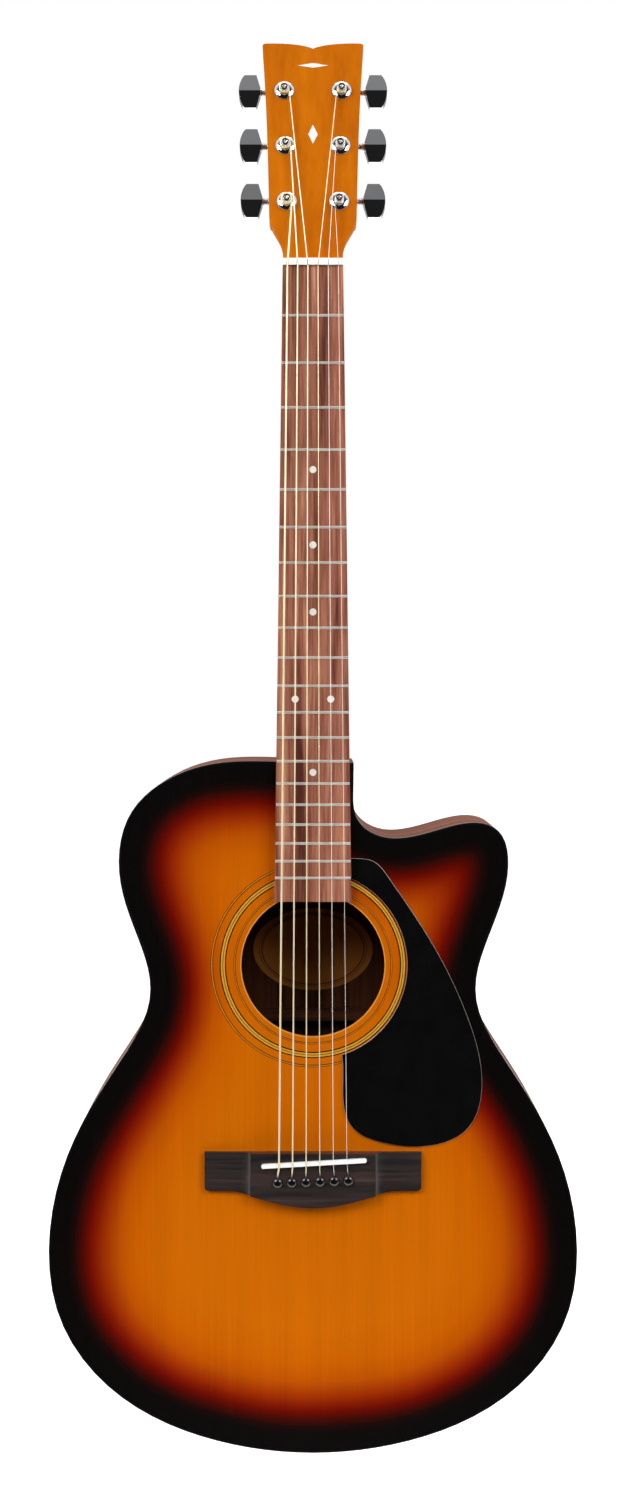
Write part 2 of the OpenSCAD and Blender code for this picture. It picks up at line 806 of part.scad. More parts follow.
function unit(v) = v / norm(v);
function step_direction(path, i) = unit(path[i + 1] - path[i]);
function tangent(path, i) =
    unit(step_direction(path, max(i - 1, 0)) + step_direction(path, min(i, len(path) - 2)));
STRING_SIDES = 10;
function tube_ring(path, i, r) =
    let (
        t = tangent(path, i),
        u = unit([1, 0, 0] - t * t.x),
        v = cross(t, u)
    )
    [for (s = [0 : STRING_SIDES - 1])
        path[i] + r * (u * cos(360 * s / STRING_SIDES) + v * sin(360 * s / STRING_SIDES))];

module string(k) {
    BALL_R = 1.9;
    BALL_W = 3.4;
    path = string_path(k);
    skin([for (i = [0 : len(path) - 1]) tube_ring(path, i, string_r(k))]);
    translate([pin_x(k) - BALL_W / 2, top_t + PLATE_T + BALL_R + 0.05, pin_z(k) + 2.85])
        rotate([0, 90, 0]) cylinder(r = BALL_R, h = BALL_W, $fn = 32);
}

module wound_strings() {
    color("goldenrod") for (k = WOUND) string(k);
}

module plain_strings() {
    color("silver") for (k = PLAIN) string(k);
}

module nut() {
    NUT_TOP = 9;
    color("ivory") difference() {
        block([-nut_w / 2, -NUT_TOP, 0], [nut_w / 2, 0, nut_t]);
        for (k = STRINGS) {
            rest = string_path(k)[1];
            translate(rest) string_slot(string_start(k) - rest, string_r(k) + 0.08);
        }
    }
}

// A string's slot in the nut along the direction aim, open to the front.
module string_slot(aim, half) {
    yaw = atan2(aim.x, aim.z);
    fall = atan2(aim.y, norm([aim.x, aim.z]));
    rotate([0, yaw, 0]) rotate([-fall, 0, 0]) {
        translate([0, 0, -2]) cylinder(r = half, h = 12, $fn = 32);
        block([-half, -6, -2], [half, 0, 10]);
    }
}

// ---- Tuners ----
module housing_outline() {
    offset(r = 2.5, $fn = 48) offset(delta = -2.5) union() {
        circle(r = 9.2, $fn = 64);
        translate([-9.8, 0.5]) square([21.8, 15.6]);
        translate([-4, SCREW_Y - 3.6]) square([8, 10]);
    }
}

// A cylinder along the worm's axis, between two places across the tuner.
module along_worm(from, to, r) {
    translate([from, WORM_Y, WORM_Z]) rotate([0, 90, 0]) cylinder(r = r, h = to - from, $fn = 64);
}

// The space behind the screw tab, which is thinner than the gear case.
module beside_screw_tab(back, front) {
    block([-8, SCREW_Y - 6, back], [8, TAB_END, front]);
}

module tuner_housings() {
    FRONT_WALL = 1.5;
    chamber_r = GEAR_TIP_R + CHAMBER_FIT;
    worm_room = WORM_TIP_R + CHAMBER_FIT;
    color("silver") all_tuners() difference() {
        translate([0, 0, HOUSING_BACK]) linear_extrude(HOUSING_TOP - HOUSING_BACK) housing_outline();
        beside_screw_tab(HOUSING_BACK - 1, tab_back);
        // Gear chamber
        translate([0, 0, HOUSING_BACK - 1])
            cylinder(r = chamber_r, h = HOUSING_TOP - FRONT_WALL - HOUSING_BACK + 1, $fn = 64);
        // Worm chamber, open to the back for assembly
        along_worm(-8, 8.5, worm_room);
        block([-8, WORM_Y - worm_room, HOUSING_BACK - 1], [8.5, WORM_Y + worm_room, WORM_Z]);
        // Bearings of the post and of the worm shaft
        translate([0, 0, HOUSING_TOP - 3]) cylinder(r = POST_R + RUN_FIT, h = 4, $fn = 64);
        along_worm(-9.4, 14.6, SHAFT_R + RUN_FIT);
        // Hole for the fixing screw
        translate([0, SCREW_Y, tab_back - 1]) cylinder(r = SCREW_R + 0.1, h = TAB_T + 2, $fn = 32);
    }
}

module tuner_covers() {
    color("silver") all_tuners() difference() {
        translate([0, 0, HOUSING_BACK - COVER_T]) linear_extrude(COVER_T) housing_outline();
        beside_screw_tab(HOUSING_BACK - COVER_T - 1, HOUSING_BACK + 1);
    }
}

module tuner_bushings() {
    bore = POST_R + RUN_FIT;
    color("silver") all_tuners() rotate_extrude($fn = 64) polygon([
        [bore, 0.2 - head_t], [BUSHING_R, 0.2 - head_t], [BUSHING_R, 0], [FLANGE_R, 0],
        [FLANGE_R, 0.9], [FLANGE_R - 0.9, 1.6], [BUSHING_R - 0.3, 2.3], [bore, 2.3]
    ]);
}

module tuner_screws() {
    HEAD_R = 2.5;
    HEAD_H = 1.4;
    SHANK_L = 10;
    color("silver") all_tuners() translate([0, SCREW_Y, tab_back]) difference() {
        union() {
            translate([0, 0, -HEAD_H]) cylinder(r = HEAD_R, h = HEAD_H, $fn = 48);
            cylinder(r = SCREW_R, h = SHANK_L, $fn = 32);
        }
        for (turn = [0, 90]) rotate([0, 0, turn])
            block([-1.6, -0.35, -HEAD_H - 1], [1.6, 0.35, -0.5]);
    }
}

// Button: a rounded outline crossed with a ridged lens, so that it is thickest at its middle.
module knob(k) {
    INNER_TIP = 2;
    EDGE_T = 2.6;
    RIDGE_T = 4.5;
    OUTER_END = 15.9;
    END_R = 24.3;
    outline = concat(
        [[0, INNER_TIP], [0, -INNER_TIP], [3, -KNOB_HALF_L], [11.6, -KNOB_HALF_L]],
        [for (a = [-28 : 7 : 28]) [OUTER_END - END_R * (1 - cos(a)), END_R * sin(a)]],
        [[11.6, KNOB_HALF_L], [3, KNOB_HALF_L]]
    );
    color("gainsboro") on_head(k) translate([KNOB_X, WORM_Y, WORM_Z]) difference() {
        intersection() {
            translate([0, 0, -RIDGE_T]) linear_extrude(2 * RIDGE_T) polygon(outline);
            rotate([90, 0, 90]) linear_extrude(20) polygon([
                [-KNOB_HALF_L - 1, -EDGE_T], [0, -RIDGE_T], [KNOB_HALF_L + 1, -EDGE_T],
                [KNOB_HALF_L + 1, EDGE_T], [0, RIDGE_T], [-KNOB_HALF_L - 1, EDGE_T]
            ]);
        }
        translate([-1, 0, 0]) rotate([0, 90, 0]) cylinder(r = SHAFT_R, h = 12, $fn = 48);
    }
}

// Right-hand thread of trapezoid section, wound round the worm's core.
function thread_ring(i) =
    let (
        turn = 360 * i / WORM_STEPS,
        shift = worm_pitch * (i / WORM_STEPS - WORM_TURNS / 2),
        root = WORM_CORE_R - 0.2,
        profile = [[-0.75, root], [-0.35, WORM_TIP_R], [0.35, WORM_TIP_R], [0.75, root]],
        phase = turn - 180 * WORM_TURNS
    )
    [for (p = profile) [p.x + shift, -p.y * cos(phase), -p.y * sin(phase)]];

module worm(k) {
    SHAFT_START = -9.2;
    SHAFT_L = 38;
    CORE_HALF = 7.2;
    COLLAR_START = 12.3;
    COLLAR_R = 2.6;
    RING_R = 3.2;
    RING_W = 1.2;
    color("goldenrod") on_head(k) translate([0, WORM_Y, WORM_Z]) {
        rotate([0, 90, 0]) {
            translate([0, 0, SHAFT_START]) cylinder(r = SHAFT_R, h = SHAFT_L, $fn = 64);
            translate([0, 0, -CORE_HALF]) cylinder(r = WORM_CORE_R, h = 2 * CORE_HALF, $fn = 64);
            // Collar with a ring at each end, between the housing and the button
            translate([0, 0, COLLAR_START]) cylinder(r = RING_R, h = RING_W, $fn = 64);
            translate([0, 0, COLLAR_START]) cylinder(r = COLLAR_R, h = KNOB_X - COLLAR_START, $fn = 64);
            translate([0, 0, KNOB_X - RING_W]) cylinder(r = RING_R, h = RING_W, $fn = 64);
        }
        skin(reversed([for (i = [0 : WORM_TURNS * WORM_STEPS]) thread_ring(i)]));
    }
}

module post(k) {
    HOLE_R = 0.9;
    HOLE_ABOVE_STRING = 1.6;
    color("silver") on_head(k) difference() {
        rotate_extrude($fn = 64) polygon([
            [0, POST_TAIL], [POST_R, POST_TAIL], [POST_R, POST_TIP - 0.6], [POST_R - 0.6, POST_TIP],
            [1.3, POST_TIP], [1.3, POST_TIP - 1.2], [0, POST_TIP - 1.2]
        ]);
        translate([0, 0, STRING_HEIGHT_ON_POST + HOLE_ABOVE_STRING]) rotate([90, 0, 0])
            cylinder(r = HOLE_R, h = 10, center = true, $fn = 32);
    }
}

module gear(k) {
    ROOT_HALF = 7.7;
    TIP_HALF = 2.5;
    tooth = 360 / GEAR_TEETH;
    // Corners of one tooth, as angle from its middle and radius
    corners = [
        [-ROOT_HALF, GEAR_ROOT_R], [-TIP_HALF, GEAR_TIP_R], [TIP_HALF, GEAR_TIP_R], [ROOT_HALF, GEAR_ROOT_R]
    ];
    color("gold") on_head(k) translate([0, 0, WORM_Z - GEAR_W / 2]) linear_extrude(GEAR_W) difference() {
        polygon([
            for (i = [0 : GEAR_TEETH - 1])
                for (corner = corners)
                    let (a = 90 + tooth * (i + 0.5) + corner[0])
                    [corner[1] * cos(a), corner[1] * sin(a)]
        ]);
        circle(r = POST_R, $fn = 64);
    }
}

// ---- The parts ----
soundboard();
back();
rib(-1);  // bass_rib
rib(1);  // treble_rib
linings();
neck_block();
tail_block();
top_braces();
bridge_plate();
back_braces();
rosette();
pickguard();
bindings();
bridge();
saddle();
label();
neck();
fingerboard();
frets();
nut();
position_dots();
truss_rod();
truss_rod_nut();
heel_cap();
wound_strings();
plain_strings();
tuner_housings();
tuner_covers();
tuner_bushings();
tuner_screws();
for (k = STRINGS) {
    knob(k);
    worm(k);
    post(k);
    gear(k);
    bridge_pin(k);
}
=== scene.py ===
"""Acoustic guitar: materials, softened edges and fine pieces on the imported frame, in metres.

Frame: +X towards the treble side, +Z along the neck, front faces -Y, origin at the nut.
"""
import json
import math

import bmesh
import bpy
import numpy as np
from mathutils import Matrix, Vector


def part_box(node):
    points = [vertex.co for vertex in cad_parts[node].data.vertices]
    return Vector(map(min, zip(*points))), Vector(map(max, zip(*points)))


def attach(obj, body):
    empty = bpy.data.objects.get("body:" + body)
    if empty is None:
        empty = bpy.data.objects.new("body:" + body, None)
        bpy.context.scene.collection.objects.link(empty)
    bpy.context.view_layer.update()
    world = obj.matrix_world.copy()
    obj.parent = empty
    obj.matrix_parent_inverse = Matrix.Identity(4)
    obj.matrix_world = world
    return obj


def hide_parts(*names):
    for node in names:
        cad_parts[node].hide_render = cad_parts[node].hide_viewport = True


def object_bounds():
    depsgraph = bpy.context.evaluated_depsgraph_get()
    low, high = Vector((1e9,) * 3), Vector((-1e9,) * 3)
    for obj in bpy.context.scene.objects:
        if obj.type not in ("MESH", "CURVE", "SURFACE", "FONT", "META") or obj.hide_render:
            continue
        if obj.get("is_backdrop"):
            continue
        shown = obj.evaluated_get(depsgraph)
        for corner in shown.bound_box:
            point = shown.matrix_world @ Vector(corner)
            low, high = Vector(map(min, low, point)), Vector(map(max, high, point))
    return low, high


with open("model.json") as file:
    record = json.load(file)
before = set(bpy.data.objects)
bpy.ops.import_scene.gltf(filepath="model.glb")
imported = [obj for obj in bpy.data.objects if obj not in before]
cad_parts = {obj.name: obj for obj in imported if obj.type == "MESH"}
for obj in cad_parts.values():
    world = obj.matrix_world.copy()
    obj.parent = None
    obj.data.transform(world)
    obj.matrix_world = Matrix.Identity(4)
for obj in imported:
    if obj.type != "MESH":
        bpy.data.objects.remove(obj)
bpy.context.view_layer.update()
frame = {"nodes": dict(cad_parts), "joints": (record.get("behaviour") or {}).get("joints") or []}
nodes = frame["nodes"]
joints = {joint["name"]: joint for joint in frame["joints"]}

MM = 0.001
ROOT = "guitar"
STRINGS = range(1, 7)


# ---- Places read from the frame ----
def middle(name):
    low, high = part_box(name)
    return (low + high) / 2


def numbered(name):
    return [f"{name}_{k}" for k in STRINGS]


HOLE_R = 51 * MM
soundhole = middle("rosette")
board_low, board_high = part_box("fingerboard")
ACROSS = Vector((1, 0, 0))
head_normal = Vector(joints["post_turn_1"]["axis"])
head_up = head_normal.cross(ACROSS)
post_places = {k: Vector(joints[f"post_turn_{k}"]["pos_m"]) for k in STRINGS}


# ---- Colour and shader helpers ----
def rgb(code):
    """Linear colour, with alpha, from a web colour such as c86400."""
    parts = [int(code[i:i + 2], 16) / 255 for i in (0, 2, 4)]
    linear = [p / 12.92 if p <= 0.04045 else ((p + 0.055) / 1.055) ** 2.4 for p in parts]
    return (*linear, 1.0)


class Shader:
    """One node material on the Principled BSDF."""

    def __init__(self, name, **values):
        self.material = bpy.data.materials.new(name)
        self.material.use_nodes = True
        self.tree = self.material.node_tree
        self.bsdf = self.tree.nodes["Principled BSDF"]
        for socket, value in values.items():
            self.bsdf.inputs[socket.replace("_", " ")].default_value = value

    def set(self, socket, source):
        self.tree.links.new(source, self.bsdf.inputs[socket])

    def add(self, kind, inputs, output=0, **settings):
        """Adds a shader node; each input is another node's output or a plain value."""
        node = self.tree.nodes.new("ShaderNode" + kind)
        for name, value in settings.items():
            setattr(node, name, value)
        for key, value in inputs.items():
            if isinstance(value, bpy.types.NodeSocket):
                self.tree.links.new(value, node.inputs[key])
            else:
                node.inputs[key].default_value = value
        return node.outputs[output]

    def noise(self, scale, detail=3, distortion=0.0, mirrored=False):
        """Noise with so many features per metre along each axis, alike on both sides if mirrored."""
        place = self.add("TexCoord", {}, "Object")
        if mirrored:
            place = self.add("VectorMath", {0: place}, operation="ABSOLUTE")
        stretched = self.add("Mapping", {"Vector": place, "Scale": scale})
        return self.add("TexNoise", {"Vector": stretched, "Scale": 1.0, "Detail": detail,
                                     "Roughness": 0.55, "Distortion": distortion})

    def radius_from(self, centre):
        """Distance from a line along the depth through centre."""
        place = self.add("TexCoord", {}, "Object")
        flat = self.add("VectorMath", {0: place, 1: (1, 0, 1)}, operation="MULTIPLY")
        flat_centre = (centre.x, 0, centre.z)
        return self.add("VectorMath", {0: flat, 1: flat_centre}, "Value", operation="DISTANCE")

    def bands(self, period):
        """Even bands across Z, a period apart. The Wave node turns 20 radians in a unit at scale 1."""
        place = self.add("TexCoord", {}, "Object")
        return self.add("TexWave", {"Vector": place, "Scale": 2 * math.pi / 20 / period}, "Fac",
                        bands_direction="Z")

    def ramp(self, source, stops, interpolation="LINEAR"):
        """Colour ramp; a stop is (position, colour) with a web colour or a grey value."""
        node = self.tree.nodes.new("ShaderNodeValToRGB")
        node.color_ramp.interpolation = interpolation
        elements = node.color_ramp.elements
        while len(elements) < len(stops):
            elements.new(0.5)
        for element, (place, colour) in zip(elements, stops):
            element.position = place
            element.color = rgb(colour) if isinstance(colour, str) else (colour, colour, colour, 1)
        self.tree.links.new(source, node.inputs[0])
        return node.outputs[0]

    def math(self, operation, a, b):
        return self.add("Math", {0: a, 1: b}, operation=operation)

    def remap(self, source, low, high, to_low=0.0, to_high=1.0):
        """Stretches low..high to to_low..to_high and holds what lies outside."""
        return self.add("MapRange", {"Value": source, "From Min": low, "From Max": high,
                                     "To Min": to_low, "To Max": to_high})

    def mix(self, factor, a, b, blend="MIX"):
        """Mixed colour; 0, 6, 7 and 2 are the Mix node's factor, colours and colour output."""
        return self.add("Mix", {0: factor, 6: a, 7: b}, 2, data_type="RGBA", blend_type=blend)

    def bump(self, height, distance, strength=1.0):
        """Relief from a height, with its depth in metres."""
        self.set("Normal", self.add("Bump", {"Height": height, "Distance": distance,
                                             "Strength": strength}))


# ---- Wood ----
BURST_SPAN = 100 * MM
BURST_WANDER = 2.5 * MM


def spruce_burst():
    """Gloss sunburst over straight spruce grain; the mesh carries each point's distance to the edge."""
    s = Shader("spruce_burst", Coat_Weight=0.7, Coat_Roughness=0.03, Specular_IOR_Level=0.05)
    edge = s.add("Attribute", {}, "Fac", attribute_name="edge")
    wander = s.remap(s.noise((9, 9, 6), detail=2), 0, 1, -BURST_WANDER, BURST_WANDER)
    burst = s.ramp(s.remap(s.math("ADD", edge, wander), 0, BURST_SPAN), [
        (0.0, "070606"), (0.14, "0a0606"), (0.19, "1c0704"), (0.24, "420702"), (0.29, "660900"),
        (0.34, "801b00"), (0.4, "9b3001"), (0.5, "b85000"), (0.62, "c65e00"), (0.85, "cb6702"),
    ])
    fine = s.noise((700, 40, 7), detail=4)
    broad = s.noise((60, 20, 1.6), detail=2)
    fine_shade = s.remap(fine, 0.25, 0.75, 0.86, 1.0)
    broad_shade = s.remap(broad, 0.3, 0.7, -0.04, 0.04)
    shade = s.math("ADD", fine_shade, broad_shade)
    stained = s.mix(1.0, burst, s.ramp(shade, [(0, 0.0), (1, 1.0)]), "MULTIPLY")
    # Painted highlight: a paler ring on the soundboard right at the soundhole's edge, standing in for
    # the light the edge catches
    painted_lip_highlight = s.remap(s.radius_from(soundhole), HOLE_R + 0.5 * MM, HOLE_R + 0.9 * MM, 1, 0)
    s.set("Base Color", s.mix(painted_lip_highlight, stained, rgb("dc9140")))
    s.set("Roughness", s.remap(fine, 0.3, 0.7, 0.28, 0.4))
    s.bump(fine, 0.03 * MM, 0.3)
    return s.material


def wood(name, stops, streak, across=(1, 1, 0), pores=0.5, gloss=0.35, coat=0.0, contrast=0.3,
         specular=0.3, bookmatched=False):
    """Broad streaks, finer figure and short dark pores, all fine across the grain and long along it."""
    s = Shader(name, Coat_Weight=coat, Coat_Roughness=0.12, Specular_IOR_Level=specular)

    def grain(fineness, length, detail, distortion=0.0):
        scale = tuple(fineness if fine else fineness / length for fine in across)
        return s.noise(scale, detail, distortion, bookmatched)

    broad = grain(streak, 26, 4, 0.6)
    figure = grain(streak * 5, 25, 3)
    tone = s.math("ADD", s.math("MULTIPLY", broad, 0.7), s.math("MULTIPLY", figure, 0.3))
    colour = s.ramp(s.remap(tone, 0.34, 0.66), stops)
    pore = s.remap(grain(2400, 26, 2), 0.62, 0.75, 0, pores)
    deep = s.mix(1.0, colour, (contrast, contrast, contrast, 1), "MULTIPLY")
    s.set("Base Color", s.mix(pore, colour, deep))
    s.set("Roughness", s.remap(figure, 0.3, 0.7, gloss, gloss + 0.14))
    s.bump(s.math("SUBTRACT", s.math("MULTIPLY", figure, 0.3), pore), 0.05 * MM, 0.5)
    return s.material


# ---- Plastics, bone, paper ----
def plastic(name, colour, gloss=0.16, painted_edge_highlight=None):
    """Plastic with faint rub marks and a slight change of tone, and a painted highlight in a pale
    colour on edges that face away from the front, if an edge colour is given.
    """
    s = Shader(name, Coat_Weight=0.3, Coat_Roughness=0.06)
    cloud = s.noise((60, 60, 60), detail=3)
    base = rgb(colour)
    lighter = tuple(min(1.0, c * 1.2 + 0.0008) for c in base[:3]) + (1.0,)
    tone = s.mix(s.remap(cloud, 0.35, 0.7), base, lighter)
    if painted_edge_highlight:
        # Painted highlight: faces turned away from the front, such as a bevel, take a pale colour that
        # stands in for light caught on the edge
        facing = s.add("SeparateXYZ", {"Vector": s.add("TexCoord", {}, "Normal")}, "Y")
        tone = s.mix(s.remap(facing, -0.92, -0.7), tone, rgb(painted_edge_highlight))
    s.set("Base Color", tone)
    rubs = s.noise((900, 900, 40), detail=2)
    s.set("Roughness", s.remap(rubs, 0.3, 0.75, gloss, gloss + 0.12))
    s.bump(rubs, 0.01 * MM, 0.3)
    return s.material


def pearl():
    """Swirled mother-of-pearl of the dots and inlays."""
    s = Shader("pearl_dots", Coat_Weight=0.6, Coat_Roughness=0.05)
    swirl = s.noise((420, 420, 420), detail=3, distortion=1.4)
    s.set("Base Color", s.ramp(swirl, [(0.3, "cfd2cd"), (0.5, "f4f1ea"), (0.7, "dcd9e2")]))
    s.set("Roughness", s.remap(swirl, 0.3, 0.7, 0.15, 0.3))
    s.bump(swirl, 0.01 * MM, 0.2)
    return s.material


def rosette_rings():
    """Inlaid rings of dark, yellow and brown veneer, each from its inner radius in millimetres."""
    s = Shader("rosette_rings", Coat_Weight=0.7, Coat_Roughness=0.04, Specular_IOR_Level=0.05)
    first, last = 50, 75
    dark, yellow, hair, brown, tan = "1c0602", "cf9a34", "6e3c04", "6a3602", "cf8632"
    starts = [
        (first, brown), (55.7, tan), (56.1, brown), (61, dark), (62.65, yellow), (63.85, hair),
        (64.3, yellow), (65.6, dark), (70, brown), (71.7, tan), (72.3, brown),
    ]
    span = s.remap(s.radius_from(soundhole), first * MM, last * MM)
    stops = [((radius - first) / (last - first), colour) for radius, colour in starts]
    rings = s.ramp(span, stops, "CONSTANT")
    fleck = s.noise((500, 500, 500), detail=2)
    s.set("Base Color", s.mix(s.remap(fleck, 0.4, 0.75, 0, 0.25), rings, rgb("7a5220"), "MULTIPLY"))
    s.set("Roughness", s.remap(fleck, 0.3, 0.7, 0.2, 0.3))
    s.bump(fleck, 0.01 * MM, 0.2)
    return s.material


def label_paper():
    """Aged oval label with two printed lines round it and no lettering."""
    s = Shader("label_paper", Roughness=0.9)
    low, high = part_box("label")
    centre = (low + high) / 2
    half = (high - low) / 2
    place = s.add("TexCoord", {}, "Object")
    shifted = s.add("VectorMath", {0: place, 1: (centre.x, centre.y, centre.z)}, operation="SUBTRACT")
    unit = s.add("VectorMath", {0: shifted, 1: (1 / half.x, 0, 1 / half.z)}, operation="MULTIPLY")
    reach = s.add("VectorMath", {0: unit}, "Value", operation="LENGTH")
    lines = [(0.0, 1.0), (0.84, 0.25), (0.865, 1.0), (0.89, 0.4), (0.905, 1.0)]
    age = s.noise((45, 45, 45), detail=5)
    paper = s.ramp(age, [(0.3, "b86c20"), (0.7, "cc8230")])
    s.set("Base Color", s.mix(1.0, paper, s.ramp(reach, lines, "CONSTANT"), "MULTIPLY"))
    s.bump(s.noise((1500, 1500, 1500), detail=2), 0.02 * MM, 0.4)
    return s.material


# ---- Metals ----
# Noise scale of the marks on drawn rod and wire, which are long along the neck
STEEL_BRUSH = (400, 400, 40)


def metal(name, colour, gloss, brush=(300, 300, 300), tone=0.1, metallic=1.0):
    """Metal with faint marks along its brushing and darker clouds, by tone."""
    s = Shader(name, Metallic=metallic)
    cloud = s.noise((80, 80, 80), detail=4)
    base = rgb(colour)
    darker = tuple(c * (1 - tone) for c in base[:3]) + (1.0,)
    s.set("Base Color", s.mix(s.remap(cloud, 0.35, 0.7), base, darker))
    marks = s.noise(brush, detail=3)
    s.set("Roughness", s.remap(marks, 0.3, 0.75, gloss, gloss * 1.8))
    s.bump(marks, 0.005 * MM, 0.25)
    return s.material


def wound_wire(name, colour, pitch):
    """Wrap wire on a wound string: a fine rib round the string every pitch along it."""
    s = Shader(name, Metallic=0.35)
    rib = s.bands(pitch)
    cloud = s.noise((30, 30, 30), detail=3)
    s.set("Base Color", s.mix(s.remap(cloud, 0.35, 0.7), rgb(colour), rgb("efdfb4")))
    s.set("Roughness", s.remap(cloud, 0.3, 0.7, 0.25, 0.4))
    s.bump(rib, 0.03 * MM, 0.5)
    return s.material


# ---- Mesh helpers ----
WELD_DISTANCE = 0.002 * MM


def smooth_group(degrees):
    """Geometry nodes that shade smooth except across edges sharper than the given angle."""
    name = f"smooth_by_{degrees}"
    if name in bpy.data.node_groups:
        return bpy.data.node_groups[name]
    group = bpy.data.node_groups.new(name, "GeometryNodeTree")
    group.interface.new_socket("Geometry", in_out="INPUT", socket_type="NodeSocketGeometry")
    group.interface.new_socket("Geometry", in_out="OUTPUT", socket_type="NodeSocketGeometry")
    into = group.nodes.new("NodeGroupInput")
    out = group.nodes.new("NodeGroupOutput")
    angle = group.nodes.new("GeometryNodeInputMeshEdgeAngle")
    compare = group.nodes.new("FunctionNodeCompare")
    compare.operation = "LESS_THAN"
    compare.inputs[1].default_value = math.radians(degrees)
    faces = group.nodes.new("GeometryNodeSetShadeSmooth")
    edges = group.nodes.new("GeometryNodeSetShadeSmooth")
    edges.domain = "EDGE"
    link = group.links.new
    link(into.outputs[0], faces.inputs[0])
    link(faces.outputs[0], edges.inputs[0])
    link(angle.outputs[0], compare.inputs[0])
    link(compare.outputs[0], edges.inputs["Shade Smooth"])
    link(edges.outputs[0], out.inputs[0])
    return group


def smooth(obj, degrees=32):
    """Shades an object smooth over edges flatter than degrees, with large faces kept flat."""
    modifier = obj.modifiers.new("smooth", "NODES")
    modifier.node_group = smooth_group(degrees)
    weighted = obj.modifiers.new("weighted", "WEIGHTED_NORMAL")
    weighted.keep_sharp = True


def soften(obj, width=0.0, segments=2, limit=40, degrees=32):
    """Welds a CAD node's facets, rounds its sharp edges by width and shades it."""
    if "custom_normal" in obj.data.attributes:
        obj.data.attributes.remove(obj.data.attributes["custom_normal"])
    weld = obj.modifiers.new("weld", "WELD")
    weld.merge_threshold = WELD_DISTANCE
    if width:
        bevel = obj.modifiers.new("round", "BEVEL")
        bevel.width = width
        bevel.segments = segments
        bevel.limit_method = "ANGLE"
        bevel.angle_limit = math.radians(limit)
        bevel.use_clamp_overlap = True
    smooth(obj, degrees)


def dress(names, material, width=0.0, segments=2, limit=40, degrees=32):
    """Gives CAD nodes a material and soft edges."""
    for name in names:
        obj = nodes[name]
        obj.data.materials.clear()
        obj.data.materials.append(material)
        soften(obj, width, segments, limit, degrees)


def new_piece(name, bm, material, body):
    """Makes an object of a finished bmesh that rides on a body and takes the material it is given."""
    mesh = bpy.data.meshes.new(name)
    bm.to_mesh(mesh)
    bm.free()
    piece = bpy.data.objects.new(name, mesh)
    bpy.context.scene.collection.objects.link(piece)
    mesh.materials.clear()
    mesh.materials.append(material)
    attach(piece, body)
    return piece


def tube(bm, points, radius, sides=12):
    """Adds a capped round tube along a row of points."""
    rings = []
    normal = None
    for i, point in enumerate(points):
        ahead = points[min(i + 1, len(points) - 1)] - points[max(i - 1, 0)]
        ahead.normalize()
        if normal is None:
            normal = ahead.orthogonal()
        normal = (normal - ahead * normal.dot(ahead)).normalized()
        side = ahead.cross(normal)
        rings.append([
            bm.verts.new(point + radius * (normal * math.cos(a) + side * math.sin(a)))
            for a in (2 * math.pi * s / sides for s in range(sides))
        ])
    for one, two in zip(rings, rings[1:]):
        for s in range(sides):
            t = (s + 1) % sides
            bm.faces.new((one[s], one[t], two[t], two[s])).smooth = True
    bm.faces.new(list(reversed(rings[0])))
    bm.faces.new(rings[-1])


# ---- Soundboard with a distance-to-edge field for the burst ----
GRID = 5 * MM
FLAT_ANGLE = math.radians(0.5)
RIM_ANGLE = math.radians(45)
RIM_STEP = 2 * MM
FRONT_FACE = 0.1 * MM
ROSETTE_SPAN = 80 * MM
PIN_ROW_HALF = (40 * MM, 15 * MM)
BINDING_W = 1.8 * MM


def burst_soundboard():
    """Stands a finely divided copy in for the soundboard, with the burst's distance at each point."""
    low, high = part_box("soundboard")
    bm = bmesh.new()
    bm.from_mesh(nodes["soundboard"].data)
    bmesh.ops.remove_doubles(bm, verts=bm.verts, dist=WELD_DISTANCE)
    bmesh.ops.dissolve_limit(bm, angle_limit=FLAT_ANGLE, verts=bm.verts, edges=bm.edges)
    rim_points = rim_samples(bm)
    for axis in (0, 2):
        cuts = int((high[axis] - low[axis]) / GRID)
        direction = Vector([1.0 if i == axis else 0.0 for i in range(3)])
        for i in range(1, cuts + 1):
            place = direction * (low[axis] + i * GRID)
            geometry = bm.verts[:] + bm.edges[:] + bm.faces[:]
            bmesh.ops.bisect_plane(bm, geom=geometry, dist=1e-7, plane_co=place, plane_no=direction)
    distances = [spray_distance(v.co, rim_points) for v in bm.verts]
    piece = new_piece("soundboard_burst", bm, spruce_burst(), ROOT)
    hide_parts("soundboard")
    edge = piece.data.attributes.new("edge", "FLOAT", "POINT")
    edge.data.foreach_set("value", distances)
    smooth(piece)


def rim_samples(bm):
    """Middle (x, z) and length of each short step along the soundboard's outer edge."""
    pins = middle("bridge_pin_3")
    rows = []
    for rim_edge in bm.edges:
        a, b = (vert.co for vert in rim_edge.verts)
        centre = (a + b) / 2
        at_front = max(a.y, b.y) <= FRONT_FACE and rim_edge.calc_face_angle(0) >= RIM_ANGLE
        in_rosette = math.hypot(centre.x - soundhole.x, centre.z - soundhole.z) < ROSETTE_SPAN
        at_pins = abs(centre.x) < PIN_ROW_HALF[0] and abs(centre.z - pins.z) < PIN_ROW_HALF[1]
        if not at_front or in_rosette or at_pins:
            continue
        length = (b - a).length
        steps = max(1, math.ceil(length / RIM_STEP))
        for i in range(steps):
            spot = a.lerp(b, (i + 0.5) / steps)
            rows.append((spot.x, spot.z, length / steps))
    return np.array(rows)


def spray_distance(point, rim):
    """Distance from a straight edge that gets as much spray as this point gets from the whole rim."""
    least = 0.5 * MM
    squared = (rim[:, 0] - point.x) ** 2 + (rim[:, 1] - point.z) ** 2 + least ** 2
    dose = float(np.sum(rim[:, 2] / squared ** 3))
    straight_edge = 3 * math.pi / 8
    return (straight_edge / dose) ** (1 / 5) + BINDING_W


